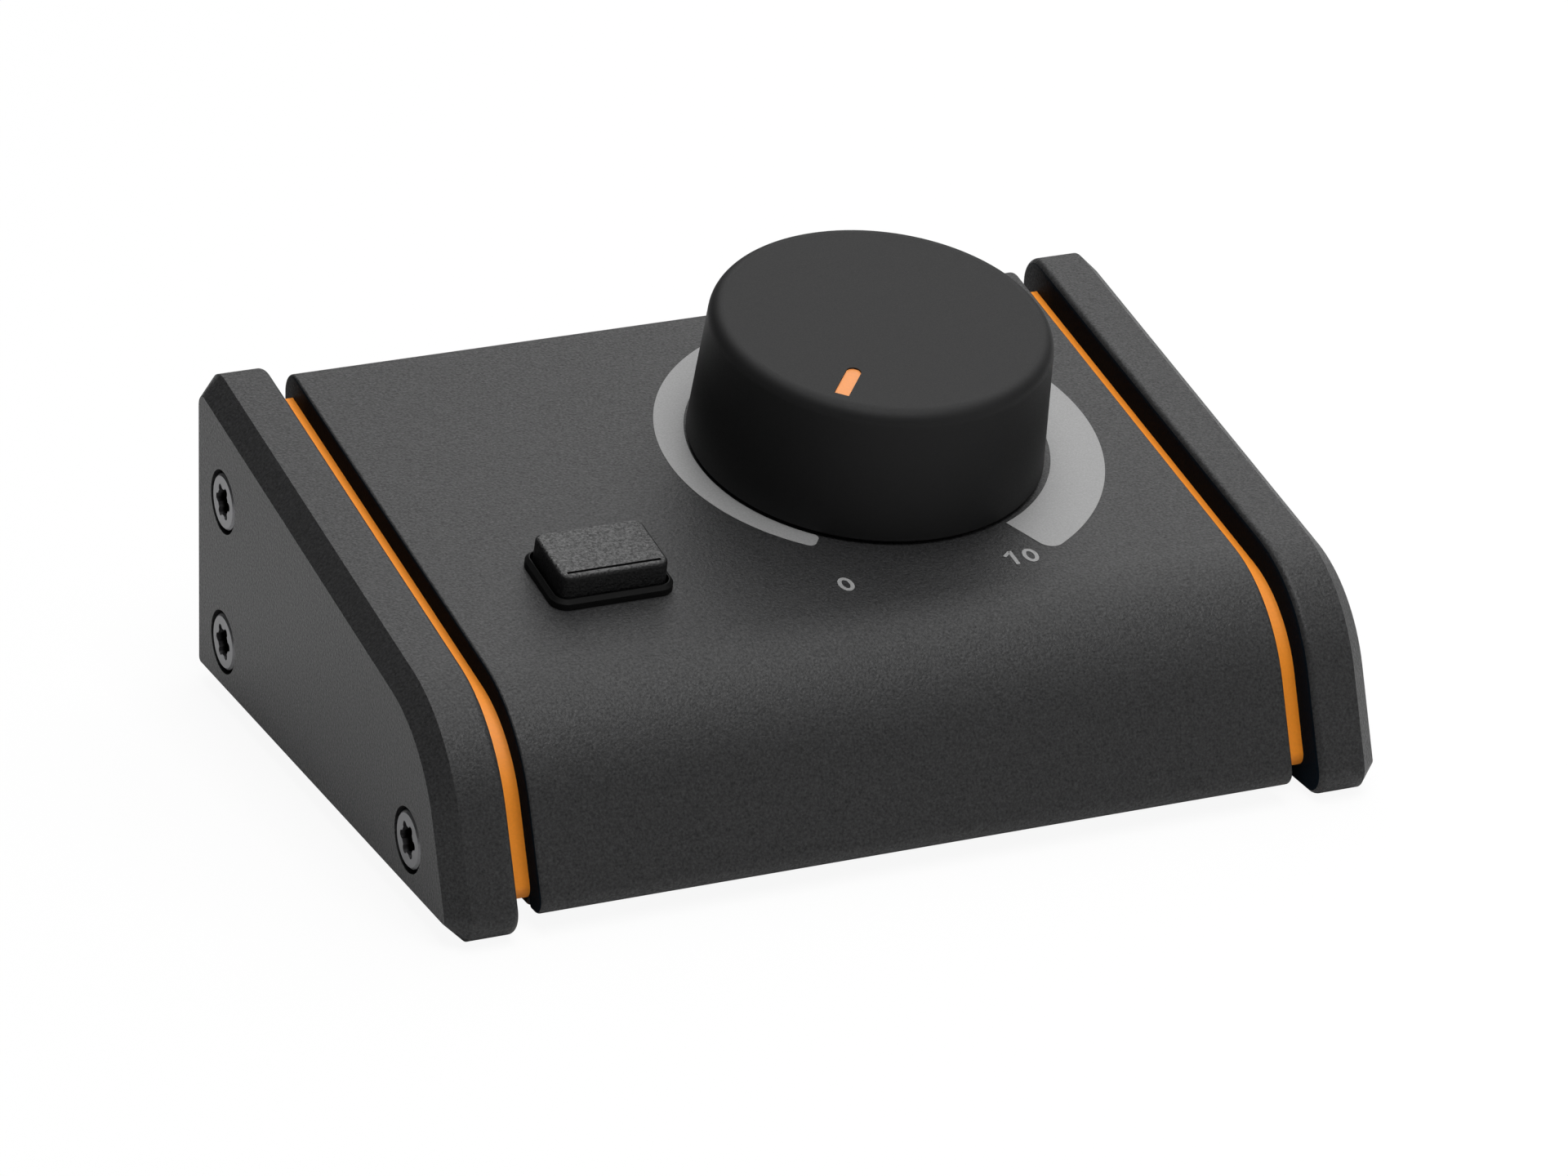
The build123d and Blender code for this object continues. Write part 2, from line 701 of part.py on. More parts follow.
def make_button_cap():
    low_outline = RectangleRounded(cap_length + 2 * cap_draft, cap_width + 2 * cap_draft, cap_corner)
    high_outline = RectangleRounded(cap_length, cap_width, cap_corner)
    cap = loft([Pos(0, 0, -cap_depth) * low_outline, Pos(0, 0, cap_height) * high_outline], ruled=True)
    cap = fillet(cap.faces().sort_by(Axis.Z)[-1].edges(), cap_edge_round)
    roof = cap_height - cap_wall
    hollow_corner = cap_corner / 2
    cap -= block(cap_length - 2 * cap_wall, cap_width - 2 * cap_wall, -cap_depth - beyond, roof, hollow_corner)
    cap += block(cap_stem, cap_stem, -cap_depth, roof + root)
    cap -= block(plunger_size, plunger_size, -cap_depth - beyond, plunger_seat - cap_depth)
    groove = Box(cap_length - 2 * cap_groove_margin, cap_groove_width, 2 * cap_groove_depth)
    return cap - Pos(0, cap_groove_inset - cap_width / 2, cap_height) * groove


def make_button_bezel():
    length, width = collar_size()
    collar = block(length, width, -shell_wall - bezel_snap, 0, collar_corner())
    rim_corner = collar_corner() + bezel_flange
    rim = block(length + 2 * bezel_flange, width + 2 * bezel_flange, 0, bezel_height, rim_corner)
    rim = chamfer(rim.faces().sort_by(Axis.Z)[-1].edges(), bezel_slope)
    low = -shell_wall - bezel_snap - beyond
    opening = block(length - 2 * bezel_wall, width - 2 * bezel_wall, low, bezel_height + beyond,
                    collar_corner() - bezel_wall)
    return collar + rim - opening


def plunger_hole(low):
    hole = plunger_size + 2 * plunger_gap
    return block(hole, hole, low, switch_top + beyond)


def make_switch_body():
    body = block(switch_size, switch_size, control_top, switch_top - switch_lid_thickness, moulded_corner)
    return body - plunger_hole(control_top + switch_floor)


def make_switch_frame():
    """The steel frame clenched over the switch."""
    size = switch_size + 2 * switch_lid_thickness
    corner = moulded_corner + switch_lid_thickness
    frame = block(size, size, control_top + switch_lid_lift, switch_top, corner)
    frame -= block(switch_size, switch_size, control_top, switch_top - switch_lid_thickness, moulded_corner)
    return frame - plunger_hole(control_top)


def make_switch_plunger():
    low = control_top + switch_floor + plunger_stop + button_travel
    return block(plunger_size, plunger_size, low, plunger_seat - cap_depth)


# ---------------------------------------------------------------- control board, in the panel's frame
def make_control_board():
    width = control_right - control_left
    length = control_rear - control_front
    middle = ((control_left + control_right) / 2, (control_front + control_rear) / 2)
    board = Pos(*middle) * block(width, length, control_under, control_top, board_corner)
    corner = -pot_size / 2 - control_pot_gap
    notch = Box(width, length, 2 * (board_thickness + beyond), align=(Align.MIN, Align.MIN, Align.CENTER))
    board -= Pos(corner, corner, control_top) * notch
    low = control_under - beyond
    high = control_top + beyond
    for spot in pillar_spots:
        board -= Pos(*spot) * disc(board_thread_d / 2 + tapped_gap, low, high)
    for spot in terminal_spots():
        board -= Pos(*spot) * disc(pin_hole_r, low, high)
    return board


def make_pillars():
    pillar = disc(pillar_r, control_top, -shell_wall)
    pillar += disc(pillar_spigot_r, -shell_wall - root, pillar_spigot_length - shell_wall)
    pillar -= disc(board_thread_d / 2 + tapped_gap, control_top - beyond, control_top + board_screw_length)
    return [Pos(*spot) * pillar for spot in pillar_spots]


def make_control_screws():
    screw = Rot(180, 0, 0) * cap_screw(board_thread_d, board_screw_length, board_head_d, board_head_height)
    return [Pos(*spot, control_under) * screw for spot in pillar_spots]


# ---------------------------------------------------------------- rear sockets, each in its own plane
def make_jack():
    """A moulded 6.3 mm socket: housing, threaded nose and plug bore, with side slots for its springs."""
    housing = block(jack_width, jack_height, -shell_wall - jack_length, -shell_wall, moulded_corner)
    nose = disc(jack_thread_d / 2, -shell_wall - root, jack_mouth)
    nose = chamfer(top_rim(nose), thread_chamfer)
    guide_end = jack_mouth - jack_mouth_chamfer - jack_guide_length
    jack = housing + nose - disc(jack_bore_r, guide_end, jack_mouth + beyond)
    jack -= disc(jack_chamber_r, jack_mouth - jack_bore_depth, guide_end)
    lead_in = Cone(jack_bore_r, jack_bore_r + jack_mouth_chamfer, jack_mouth_chamfer,
                   align=(Align.CENTER, Align.CENTER, Align.MAX))
    jack -= Pos(0, 0, jack_mouth) * lead_in
    slot_width = contact_offset + contact_room
    slot_height = jack_height / 2 + beyond + contact_bow + contact_room
    for side, behind in contact_depths:
        slot = Box(slot_width, slot_height, contact_slot, align=(Align.MIN, Align.MIN, Align.CENTER))
        slot = Pos(0, -jack_height / 2 - beyond, jack_mouth - behind) * slot
        jack -= slot if side > 0 else mirror(slot, about=Plane.YZ)
    return jack


def contact_spring(side, behind):
    """A bowed strip that touches the plug from the side, with a tail that goes through the board."""
    touch = jack_bore_r + contact_touch_gap
    low = contact_lift - jack_height / 2
    centre = jack_mouth - behind
    back = contact_offset + contact_thickness
    outline = Polygon((contact_offset, low), (back, low), (back, -contact_bow), (touch + contact_thickness, 0),
                      (back, contact_bow), (contact_offset, contact_bow), (touch, 0),
                      (contact_offset, -contact_bow), align=None)
    spring = extrude(Plane.XY.offset(centre - contact_width / 2) * outline, amount=contact_width)
    tail = Box(contact_thickness, board_thickness + contact_tail + 2 * contact_lift, contact_pin_width,
               align=(Align.MIN, Align.MAX, Align.CENTER))
    spring += Pos(contact_offset, low + contact_lift, centre) * tail
    return spring if side > 0 else mirror(spring, about=Plane.YZ)


def contact_pin_spots():
    """Where the springs' tails go through the main board, in (x, y)."""
    spots = []
    for x in jack_spots:
        for side, behind in contact_depths:
            offset = side * (contact_offset + contact_thickness / 2)
            spots.append((x - offset, rear_face + jack_mouth - behind))
    return spots


def make_jack_washer():
    hole = disc(jack_thread_d / 2 + jack_hole_gap, -beyond, jack_washer_thickness + beyond)
    return disc(jack_washer_r, 0, jack_washer_thickness) - hole


def make_jack_nut():
    nut = hex_nut(jack_nut_af, jack_nut_thickness, jack_thread_d + 2 * tapped_gap)
    return Pos(0, 0, jack_washer_thickness) * nut


def make_mini_jack():
    housing = block(mini_width, mini_height, -shell_wall - mini_length, -shell_wall, moulded_corner)
    nose = disc(mini_thread_d / 2, -shell_wall - root, mini_mouth)
    nose = chamfer(top_rim(nose), thread_chamfer)
    return housing + nose - disc(mini_bore_r, mini_mouth - mini_bore_depth, mini_mouth + beyond)


def make_mini_nut():
    """A round nut with two spanner slots."""
    hole = disc(mini_thread_d / 2 + tapped_gap, -beyond, mini_nut_thickness + beyond)
    slot = Box(2 * (mini_nut_r + beyond), mini_slot_width, 2 * mini_slot_depth)
    return disc(mini_nut_r, 0, mini_nut_thickness) - hole - Pos(0, 0, mini_nut_thickness) * slot


# ---------------------------------------------------------------- main board and what stands on it
def make_main_board():
    middle = (board_rear + board_front) / 2
    board = Pos(0, middle) * block(2 * main_board_half, main_board_length, board_floor, board_top, board_corner)
    low = board_floor - beyond
    high = board_top + beyond
    for spot in main_spots:
        board -= Pos(*spot) * disc(main_thread_d / 2 + 2 * tapped_gap, low, high)
    for spot in contact_pin_spots():
        board -= Pos(*spot) * disc(pin_hole_r, low, high)
    return board


def make_spacers():
    hole = disc(main_thread_d / 2 + tapped_gap, base_top - beyond, board_floor + beyond)
    spacer = disc(spacer_r, base_top, board_floor) - hole
    return [Pos(*spot) * spacer for spot in main_spots]


def make_main_screws():
    screw = cap_screw(main_thread_d, main_screw_length, main_head_d, main_head_height)
    return [Pos(*spot, board_top) * screw for spot in main_spots]


def make_resistors():
    """Axial summing resistors, lying on the main board on bent leads."""
    level = board_top + resistor_r + resistor_lift
    lying = Pos(0, 0, level) * Rot(90, 0, 0)
    half = resistor_span / 2
    leg = disc(resistor_lead_r, board_top, level)
    resistor = lying * Cylinder(resistor_r, resistor_length) + lying * Cylinder(resistor_lead_r, resistor_span)
    resistor += Pos(0, half, 0) * leg + Pos(0, -half, 0) * leg
    middle = main_screw_x - resistor_screw_gap
    first = middle - resistor_pitch * (resistor_count - 1) / 2
    row = board_front + resistor_front_inset
    return [Pos(first + step * resistor_pitch, row) * resistor for step in range(resistor_count)]


def on_panel_side(v, w):
    """A point of the panel's frame, in (y, z)."""
    y = knob_y + v * cos(slope_angle) - w * sin(slope_angle)
    return (y, panel.origin.Z + v * sin(slope_angle) + w * cos(slope_angle))


def under_control_board(y):
    """Height of the control board's underside at a depth y."""
    return panel.origin.Z + control_under / cos(slope_angle) + (y - knob_y) * slope_rate


def make_link_sockets():
    lower = Pos(link_x, link_front_y) * block(socket_length, socket_width, board_top, board_top + socket_height)
    upper = block(socket_length, socket_width, control_under - socket_height, control_under)
    return [lower, panel * Pos(link_x - knob_x, link_rear_v) * upper]


def make_link_cable():
    """A flat flexible lead in an S-bend from one board's socket to the other's."""
    low = board_top + socket_height
    high = control_under - socket_height
    pull = link_pull_share * (under_control_board(link_front_y) - low)
    start = (link_front_y, low)
    start_pull = (link_front_y, low + pull)
    end_pull = on_panel_side(link_rear_v, high - pull)
    end = on_panel_side(link_rear_v, high)
    path = Plane.YZ.offset(link_x) * Bezier(start, start_pull, end_pull, end)
    section = Plane(origin=path @ 0, x_dir=(1, 0, 0), z_dir=path % 0) * Rectangle(link_width, link_thickness)
    return sweep(section, path=path)


# ---------------------------------------------------------------- the assembly
os.makedirs("parts", exist_ok=True)

cheek = make_cheek()
accent = make_accent_plate()
cheek_screws = make_cheek_screws()
save("body_shell", make_shell())
save("base_plate", make_base_plate())
save("right_cheek", cheek)
save("left_cheek", opposite(cheek))
save("right_accent_plate", accent)
save("left_accent_plate", opposite(accent))
save("right_cheek_screws", *cheek_screws)
save("left_cheek_screws", *[opposite(screw) for screw in cheek_screws])
save("base_plate_screws", *make_base_screws())
save("rubber_feet", *make_feet())

on_panel = {
    "pot_housing": make_pot_housing,
    "pot_bushing": make_pot_bushing,
    "pot_washer": make_pot_washer,
    "pot_nut": make_pot_nut,
    "pot_shaft": make_pot_shaft,
    "pot_rotor": make_pot_rotor,
    "knob_shell": make_knob_shell,
    "knob_insert": make_knob_insert,
    "knob_pointer": make_knob_pointer,
    "control_board": make_control_board,
}
for name, make in on_panel.items():
    save(name, panel * make())
save("pot_terminals", *[panel * tag for tag in make_pot_terminals()])
save("control_board_pillars", *[panel * pillar for pillar in make_pillars()])
save("control_board_screws", *[panel * screw for screw in make_control_screws()])

at_button = {
    "button_cap": make_button_cap,
    "button_bezel": make_button_bezel,
    "switch_body": make_switch_body,
    "switch_frame": make_switch_frame,
    "switch_plunger": make_switch_plunger,
}
for name, make in at_button.items():
    save(name, panel * Pos(button_u, button_v) * make())

jack_names = ("left_input_jack", "right_input_jack", "left_output_jack", "right_output_jack")
jack_planes = [rear_socket(x, jack_z) for x in jack_spots]
for name, plane in zip(jack_names, jack_planes):
    save(name, plane * make_jack())
springs = [plane * contact_spring(*spot) for plane in jack_planes for spot in contact_depths]
save("jack_contact_springs", *springs)
save("jack_washers", *[plane * make_jack_washer() for plane in jack_planes])
save("jack_nuts", *[plane * make_jack_nut() for plane in jack_planes])
save("mini_jack", rear_socket(0, mini_z) * make_mini_jack())
save("mini_jack_nut", rear_socket(0, mini_z) * make_mini_nut())

save("main_board", make_main_board())
save("main_board_spacers", *make_spacers())
save("main_board_screws", *make_main_screws())
save("summing_resistors", *make_resistors())
save("link_sockets", *make_link_sockets())
save("link_cable", make_link_cable())
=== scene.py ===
import json
from math import cos, pi, radians, sin

import bmesh
import bpy
from mathutils import Matrix, Vector


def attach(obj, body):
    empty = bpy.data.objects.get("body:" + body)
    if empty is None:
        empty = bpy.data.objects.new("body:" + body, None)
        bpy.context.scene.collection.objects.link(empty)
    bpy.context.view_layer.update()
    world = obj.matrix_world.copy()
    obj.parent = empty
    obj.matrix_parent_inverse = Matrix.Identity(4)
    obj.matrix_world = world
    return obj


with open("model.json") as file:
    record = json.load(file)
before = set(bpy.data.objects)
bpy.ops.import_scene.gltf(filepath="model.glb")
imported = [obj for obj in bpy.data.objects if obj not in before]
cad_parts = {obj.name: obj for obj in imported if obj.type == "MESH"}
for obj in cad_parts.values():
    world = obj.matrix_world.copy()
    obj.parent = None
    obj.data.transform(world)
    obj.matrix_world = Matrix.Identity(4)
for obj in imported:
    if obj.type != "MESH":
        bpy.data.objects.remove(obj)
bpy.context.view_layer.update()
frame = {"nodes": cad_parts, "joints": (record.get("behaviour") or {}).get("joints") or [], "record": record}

nodes = frame["nodes"]
MM = 0.001

# ---------------------------------------------------------------- camera, at the photograph's viewing angle
AZIMUTH = radians(-25.303)
ELEVATION = radians(23.676)
ROLL = radians(1.790)
FOCAL_PX = 9498.35
IMAGE_WIDTH_PX = 1920
SENSOR_MM = 36.0
DISTANCE_MM = 935.605
AIM_RIGHT_MM = -1.046
AIM_UP_MM = 17.982
FRAME_SHIFT_MM = Vector((0.0, -5.042, 1.209))
CLIP_NEAR = 0.05
CLIP_FAR = 20


def make_camera():
    back = Vector((sin(AZIMUTH) * cos(ELEVATION), -cos(AZIMUTH) * cos(ELEVATION), sin(ELEVATION)))
    right = Vector((cos(AZIMUTH), sin(AZIMUTH), 0))
    up = back.cross(right)
    across = right * cos(ROLL) + up * sin(ROLL)
    along = up * cos(ROLL) - right * sin(ROLL)
    centre = back * DISTANCE_MM + across * AIM_RIGHT_MM + along * AIM_UP_MM + FRAME_SHIFT_MM
    data = bpy.data.cameras.new("camera")
    data.sensor_fit = "HORIZONTAL"
    data.sensor_width = SENSOR_MM
    data.lens = FOCAL_PX / IMAGE_WIDTH_PX * SENSOR_MM
    data.clip_start = CLIP_NEAR
    data.clip_end = CLIP_FAR
    camera = bpy.data.objects.new("camera", data)
    bpy.context.scene.collection.objects.link(camera)
    turn = Matrix((across, along, back)).transposed()
    camera.matrix_world = Matrix.Translation(centre * MM) @ turn.to_4x4()
    bpy.context.scene.camera = camera


make_camera()


# ---------------------------------------------------------------- the panel's own frame
level = next(joint for joint in frame["joints"] if joint["name"] == "level_turn")
normal = -Vector(level["axis"]).normalized()
panel_x = Vector((1, 0, 0))
panel = Matrix((panel_x, normal.cross(panel_x), normal)).transposed().to_4x4()
panel.translation = Vector(level["pos_m"])


# ---------------------------------------------------------------- node-tree helpers
NOISE_LOW, NOISE_HIGH = 0.3, 0.7        # nearly all of a noise lies between these
GRAIN_DETAIL, GRAIN_ROUGHNESS = 3.0, 0.6


class Tree:
    """A material's node tree, with short calls for what the finishes share."""

    def __init__(self, name):
        self.material = bpy.data.materials.new(name)
        self.material.use_nodes = True
        self.tree = self.material.node_tree
        self.tree.nodes.clear()
        self.out = self.add("ShaderNodeOutputMaterial")
        self.bsdf = self.add("ShaderNodeBsdfPrincipled")
        self.link(self.bsdf.outputs[0], self.out.inputs[0])
        place = self.add("ShaderNodeTexCoord")
        self.coords, self.normal = place.outputs["Object"], place.outputs["Normal"]

    def add(self, kind):
        return self.tree.nodes.new(kind)

    def link(self, start, end):
        self.tree.links.new(start, end)

    def coordinate(self, axis):
        node = self.add("ShaderNodeSeparateXYZ")
        self.link(self.coords, node.inputs[0])
        return node.outputs[axis]

    def stretched(self, scale):
        node = self.add("ShaderNodeMapping")
        node.inputs["Scale"].default_value = scale
        self.link(self.coords, node.inputs[0])
        return node.outputs[0]

    def noise(self, size_mm, detail=2.0, rough=0.5, vector=None):
        node = self.add("ShaderNodeTexNoise")
        node.inputs["Scale"].default_value = 1 / (size_mm * MM)
        node.inputs["Detail"].default_value = detail
        node.inputs["Roughness"].default_value = rough
        self.link(vector or self.coords, node.inputs["Vector"])
        return node.outputs["Fac"]

    def grain(self, size_mm, vector=None):
        return self.noise(size_mm, GRAIN_DETAIL, GRAIN_ROUGHNESS, vector)

    def cells(self, size_mm, vector):
        node = self.add("ShaderNodeTexVoronoi")
        node.inputs["Scale"].default_value = 1 / (size_mm * MM)
        self.link(vector, node.inputs["Vector"])
        return node.outputs["Distance"]

    def bands(self, direction, scale):
        node = self.add("ShaderNodeTexWave")
        node.bands_direction = direction
        node.inputs["Scale"].default_value = scale
        self.link(self.coords, node.inputs["Vector"])
        return node.outputs["Fac"]

    def fit(self, value, low, high, to_low, to_high):
        """The range from low to high laid on the range from to_low to to_high, and held at its ends."""
        node = self.add("ShaderNodeMapRange")
        node.clamp = True
        for socket, number in zip(list(node.inputs)[1:5], (low, high, to_low, to_high)):
            socket.default_value = number
        self.link(value, node.inputs[0])
        return node.outputs[0]

    def fit_noise(self, value, to_low, to_high):
        return self.fit(value, NOISE_LOW, NOISE_HIGH, to_low, to_high)

    def blend(self, factor, first, second):
        """From the first colour to the second; each is three numbers or a socket."""
        node = self.add("ShaderNodeMix")
        node.data_type = "RGBA"
        for socket, colour in ((node.inputs[6], first), (node.inputs[7], second)):
            if isinstance(colour, tuple):
                socket.default_value = (*colour, 1)
            else:
                self.link(colour, socket)
        self.link(factor, node.inputs[0])
        return node.outputs[2]

    def bump(self, height, strength, depth_mm):
        node = self.add("ShaderNodeBump")
        node.inputs["Strength"].default_value = strength
        node.inputs["Distance"].default_value = depth_mm * MM
        self.link(height, node.inputs["Height"])
        return node.outputs[0]

    def maths(self, operation, first, second=None):
        node = self.add("ShaderNodeMath")
        node.operation = operation
        for socket, value in zip(node.inputs, (first, second)):
            if isinstance(value, (int, float)):
                socket.default_value = value
            elif value is not None:
                self.link(value, socket)
        return node.outputs[0]

    def set(self, **values):
        """Numbers go on the shader's own sockets, and sockets are linked to them."""
        for name, value in values.items():
            socket = self.bsdf.inputs[name.replace("_", " ")]
            if isinstance(value, (int, float)):
                socket.default_value = value
            else:
                self.link(value, socket)

    def so_far(self, name):
        """What is linked to one of the shader's inputs up to now."""
        return self.bsdf.inputs[name].links[0].from_socket


def shade(colour, factor):
    return tuple(channel * factor for channel in colour)


DRIFT_SIZE_MM = 18.0
DRIFT_SHARE = 0.06
DRIFT_SHADE = 0.8


def grained(name, colour, rough, grain_mm=0.25, spread=0.2, relief=0.25, depth_mm=0.03, rough_spread=0.06,
            metallic=0.0, specular=0.5, vector_scale=None):
    """A surface with a fine grain in colour, roughness and relief, and a slow drift across the piece."""
    tree = Tree(name)
    vector = tree.stretched(vector_scale) if vector_scale else None
    fine = tree.grain(grain_mm, vector)
    slow = tree.noise(DRIFT_SIZE_MM)
    speckled = tree.blend(tree.fit_noise(fine, 0, 1), shade(colour, 1 - spread), shade(colour, 1 + spread))
    drifted = tree.blend(tree.fit_noise(slow, 0, DRIFT_SHARE), speckled, shade(colour, DRIFT_SHADE))
    tree.set(Base_Color=drifted, Roughness=tree.fit_noise(fine, rough - rough_spread, rough + rough_spread),
             Normal=tree.bump(fine, relief, depth_mm), Metallic=metallic, Specular_IOR_Level=specular)
    return tree


def reach(name, axis):
    """Lowest and highest coordinate of a node along an axis."""
    obj = nodes[name]
    values = [(obj.matrix_world @ Vector(corner))[axis] for corner in obj.bound_box]
    return min(values), max(values)


X, Y = 0, 1

# ---------------------------------------------------------------- finishes with a make-up of their own
LANE_MM = 3.2
LANE_STRETCH = (1.0, 3.0, 1.0)
LANE_EDGE = 0.32, 0.36
WEAVE_MM = 0.5
WEAVE_EDGE = 0.4, 0.7
WEAVE_SHARE = 0.3
MASK_GREEN = (0.018, 0.11, 0.045)
LANE_GREEN = (0.035, 0.19, 0.08)
WEAVE_GREEN = (0.02, 0.09, 0.04)
BOARD_ROUGHNESS = 0.25, 0.38


def make_board():
    """Solder mask over copper lanes, with a faint weave below."""
    tree = Tree("board_green")
    lanes = tree.cells(LANE_MM, tree.stretched(LANE_STRETCH))
    weave = tree.noise(WEAVE_MM)
    copper = tree.blend(tree.fit(lanes, *LANE_EDGE, 0, 1), MASK_GREEN, LANE_GREEN)
    tree.set(Base_Color=tree.blend(tree.fit(weave, *WEAVE_EDGE, 0, WEAVE_SHARE), copper, WEAVE_GREEN),
             Roughness=tree.fit_noise(weave, *BOARD_ROUGHNESS), Normal=tree.bump(lanes, strength=0.3, depth_mm=0.05))
    return tree


RESISTOR_BANDS = 190
RESISTOR_BAND_EDGE = 0.86, 0.9
LACQUER_BLUE = (0.2, 0.42, 0.6)
BAND_BROWN = (0.28, 0.1, 0.04)
RESISTOR_SPECK_MM = 0.4
RESISTOR_ROUGHNESS = 0.28, 0.4


def make_resistor_lacquer():
    """Blue lacquer with colour bands along the body."""
    tree = Tree("resistor_blue")
    bands = tree.bands("Y", RESISTOR_BANDS)
    speck = tree.noise(RESISTOR_SPECK_MM)
    tree.set(Base_Color=tree.blend(tree.fit(bands, *RESISTOR_BAND_EDGE, 0, 1), LACQUER_BLUE, BAND_BROWN),
             Roughness=tree.fit_noise(speck, *RESISTOR_ROUGHNESS),
             Normal=tree.bump(speck, strength=0.1, depth_mm=0.02))
    return tree


LEAD_RIBS = 160
LEAD_DARK = (0.42, 0.42, 0.41)
LEAD_LIGHT = (0.66, 0.66, 0.64)
LEAD_ROUGHNESS = 0.4, 0.55


def make_flat_lead():
    """Ribbed plastic over parallel conductors."""
    tree = Tree("flat_lead")
    ribs = tree.bands("X", LEAD_RIBS)
    tree.set(Base_Color=tree.blend(ribs, LEAD_DARK, LEAD_LIGHT),
             Roughness=tree.fit(ribs, 0, 1, *LEAD_ROUGHNESS), Normal=tree.bump(ribs, strength=0.4, depth_mm=0.1))
    return tree


def lacquer(tree, rough, speck_mm, contrast, low, high, share):
    """A thin lacquer whose gloss is specked, over the finish's own grain. It lies only where share is 1."""
    weight = tree.fit(tree.grain(speck_mm), 0.5 - contrast, 0.5 + contrast, low, high)
    tree.link(tree.so_far("Normal"), tree.bsdf.inputs["Coat Normal"])
    tree.set(Coat_Weight=tree.maths("MULTIPLY", weight, share), Coat_Roughness=rough)


COAT_GREY = (0.019, 0.019, 0.0195)
COAT_ROUGHNESS = 0.48
COAT_SPECK_MM = 0.30
COAT_CONTRAST = 0.2
COAT_GLOSS = 0.14, 0.72
JOINT_MARGIN = 0.1 * MM
# painted shade on the faces in the joints: how far it fades towards their open rear ends, its colour, and its share
# there
JOINT_SHADE_FADE = 9 * MM
JOINT_PAINTED_SHADE = (0.0010, 0.0045, 0.0090)
JOINT_REAR_SHADE_SHARE = 0.3


def make_powder_coat():
    """Dark grey powder coat with a fine grain. The faces that close the two joints are dull, and carry painted
    shade, near black, which fades towards their open rear ends."""
    tree = grained("powder_coat", COAT_GREY, COAT_ROUGHNESS, grain_mm=0.34, spread=0.5, relief=0.8, depth_mm=0.10,
                   specular=0.10)
    side = tree.maths("ABSOLUTE", tree.coordinate("X"))
    shell_end = reach("body_shell", X)[1] - JOINT_MARGIN
    cheek_start = reach("right_cheek", X)[0] + JOINT_MARGIN
    rear = reach("right_cheek", Y)[1]
    joint = tree.maths("MULTIPLY", tree.maths("GREATER_THAN", side, shell_end),
                       tree.maths("LESS_THAN", side, cheek_start))
    # painted shade on the faces in the joints between shell and cheeks, weaker towards their open rear ends
    shade_towards_front = tree.fit(tree.coordinate("Y"), rear - JOINT_SHADE_FADE, rear, 1, JOINT_REAR_SHADE_SHARE)
    joint_shade_mask = tree.maths("MULTIPLY", joint, shade_towards_front)
    lacquer(tree, COAT_ROUGHNESS, COAT_SPECK_MM, COAT_CONTRAST, *COAT_GLOSS, tree.fit(joint_shade_mask, 0, 1, 1, 0))
    tree.set(Base_Color=tree.blend(joint_shade_mask, tree.so_far("Base Color"), JOINT_PAINTED_SHADE),
             Roughness=tree.maths("MAXIMUM", tree.so_far("Roughness"), joint))
    return tree


# painted shade in the screws' recesses: how far below the heads' faces it sets in, and its colour
RECESS_SHADE = 0.8 * MM
RECESS_PAINTED_SHADE = (0.006, 0.006, 0.006)


def make_screw_steel():
    """Grey steel on the heads' faces, with painted shade, near black, on all that lies below them: their sockets and
    the gaps round the heads.
    """
    tree = grained("cheek_screw_steel", colour=(0.16, 0.16, 0.165), rough=0.40, grain_mm=0.3, spread=0.15,
                   relief=0.2, metallic=0.9)
    side = tree.maths("ABSOLUTE", tree.coordinate("X"))
    head_face = reach("right_cheek_screws", X)[1]
    # painted shade below the heads' faces
    recess_shade_mask = tree.fit(side, head_face - RECESS_SHADE, head_face - RECESS_SHADE / 2, 1, 0)
    tree.set(Base_Color=tree.blend(recess_shade_mask, tree.so_far("Base Color"), RECESS_PAINTED_SHADE))
    return tree


BUTTON_BLACK = (0.006, 0.006, 0.0062)
BUTTON_ROUGHNESS = 0.38
BUTTON_SPECK_MM = 0.36
BUTTON_CONTRAST = 0.12
BUTTON_GLOSS = 0.1, 1.0
RUBBED = 0.6, 0.97                      # cosine between a face and the panel, from not rubbed to rubbed


def make_button_plastic():
    """Moulded plastic with a coarse grain, rubbed glossy on top and dull on its sides."""
    tree = grained("button_plastic", BUTTON_BLACK, BUTTON_ROUGHNESS, grain_mm=0.30, spread=0.6, relief=1.0,
                   depth_mm=0.16, specular=0.24)
    facing = tree.add("ShaderNodeVectorMath")
    facing.operation = "DOT_PRODUCT"
    facing.inputs[1].default_value = normal
    tree.link(tree.normal, facing.inputs[0])
    lacquer(tree, BUTTON_ROUGHNESS, BUTTON_SPECK_MM, BUTTON_CONTRAST, *BUTTON_GLOSS,
            tree.fit(facing.outputs["Value"], *RUBBED, 0, 1))
    return tree


